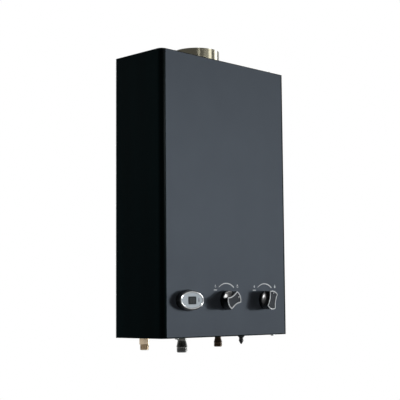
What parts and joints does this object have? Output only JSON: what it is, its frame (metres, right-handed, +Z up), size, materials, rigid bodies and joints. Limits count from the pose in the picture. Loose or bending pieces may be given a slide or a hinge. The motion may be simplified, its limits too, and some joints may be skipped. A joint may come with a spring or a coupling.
{
  "type": "gas water heater",
  "caption": "Wall-hung flued gas water heater: black and graphite sheet casing, flue collar on the roof, turning gas and water knobs, oval display, pipe connections below.",
  "frame": {"origin": "on the wall plane, midway between the centres of the two hanging keyholes", "axes": "+Y into the wall, so the front faces -Y; +Z up; +X to the right as seen from the front"},
  "size_m": [0.34, 0.1455, 0.5795],
  "materials": {
    "black_paint": "gloss black paint on sheet steel",
    "graphite_coat": "flat graphite powder coat on sheet steel",
    "galvanised_sheet": "bright galvanised sheet",
    "stainless": "rolled stainless sheet",
    "bright_steel": "zinc plated steel",
    "copper": "drawn copper, lightly dulled",
    "brass": "turned brass",
    "plated_brass": "nickel plated brass",
    "dark_bronze": "dark bronze plating",
    "cast_aluminium": "die cast, matt",
    "silver_plate": "satin silver face",
    "chrome_ring": "chrome plated plastic",
    "silver_trim": "silver painted plastic",
    "black_plastic": "black moulded plastic",
    "insert_grey": "dark grey textured plastic",
    "lens": "dark display lens",
    "rubber": "black rubber",
    "lead_sleeve": "silicone sleeve",
    "coil_can": "painted coil can",
    "phenolic": "brown phenolic",
    "ceramic": "white insulator ceramic",
    "circuit_board": "green circuit board",
    "cell_wrap": "printed cell wrap"
  },
  "bodies": {
    "casing": {"front_cover": "black_paint", "front_panel": "graphite_coat", "back_plate": "galvanised_sheet", "top_plate": "galvanised_sheet", "bottom_plate": "galvanised_sheet", "cover_screws": "bright_steel", "flue_collar": "stainless", "flue_hood": "galvanised_sheet", "heat_exchanger_shell": "copper", "fin_pack": "copper", "fin_tubes": "copper", "jacket_coil": "copper", "hot_pipe": "copper", "overheat_switch": "phenolic", "heat_exchanger_brackets": "galvanised_sheet", "burner_bars": "stainless", "burner_frame": "galvanised_sheet", "gas_manifold": "cast_aluminium", "gas_nozzles": "brass", "electrode_bracket": "stainless", "ignition_electrode": "ceramic", "flame_probe": "ceramic", "gas_valve_body": "cast_aluminium", "gas_valve_cap": "cast_aluminium", "solenoid_valve": "coil_can", "valve_bracket": "galvanised_sheet", "water_valve_body": "brass", "diaphragm": "rubber", "water_valve_cover": "brass", "valve_bolts": "bright_steel", "valve_spacers": "bright_steel", "microswitch": "black_plastic", "hot_outlet_nipple": "brass", "gas_inlet_nipple": "plated_brass", "cold_inlet_nipple": "dark_bronze", "inlet_filter": "stainless", "ignition_module": "black_plastic", "ignition_lead": "lead_sleeve", "battery_box": "black_plastic", "lid_pin": "bright_steel", "batteries": "cell_wrap", "display_bezel": "black_plastic", "display_ring": "chrome_ring", "display_plate": "silver_plate", "display_window": "lens", "display_board": "circuit_board"},
    "gas_control": {"gas_knob": "black_plastic", "gas_knob_trim": "silver_trim", "gas_knob_insert": "insert_grey", "gas_spindle": "brass"},
    "water_control": {"water_knob": "black_plastic", "water_knob_trim": "silver_trim", "water_knob_insert": "insert_grey", "water_spindle": "brass"},
    "valve_rod": {"push_rod": "bright_steel", "gas_valve_disc": "rubber"},
    "drain_washer": {"drain_seal": "rubber"},
    "drain_screw": {"drain_plug": "black_plastic"},
    "battery_door": {"battery_lid": "black_plastic"}
  },
  "joints": [
    {"name": "gas_knob_turn", "type": "hinge", "parent": "casing", "child": "gas_control", "pos_m": [-0.006, -0.125, -0.393], "axis": [0, -1, 0], "range_deg": [0, 127]},
    {"name": "water_knob_turn", "type": "hinge", "parent": "casing", "child": "water_control", "pos_m": [0.102, -0.125, -0.393], "axis": [0, -1, 0], "range_deg": [-49, 78]},
    {"name": "valve_rod_slide", "type": "slide", "parent": "casing", "child": "valve_rod", "axis": [-1, 0, 0], "range_m": [0, 0.004], "stiffness_N_per_m": 200},
    {"name": "drain_travel", "type": "slide", "parent": "casing", "child": "drain_washer", "axis": [0, 0, -1], "range_m": [0, 0.006]},
    {"name": "drain_turn", "type": "hinge", "parent": "drain_washer", "child": "drain_screw", "pos_m": [0.115, -0.05, -0.46], "axis": [0, 0, -1], "range_deg": [0, 1441]},
    {"name": "battery_lid_swing", "type": "hinge", "parent": "casing", "child": "battery_door", "pos_m": [-0.114, -0.0744, -0.4585], "axis": [1, 0, 0], "range_deg": [0, 95]}
  ],
  "couplings": [
    {"joint": "drain_turn", "follows": "drain_travel", "rad_per_m": 4188.8}
  ]
}
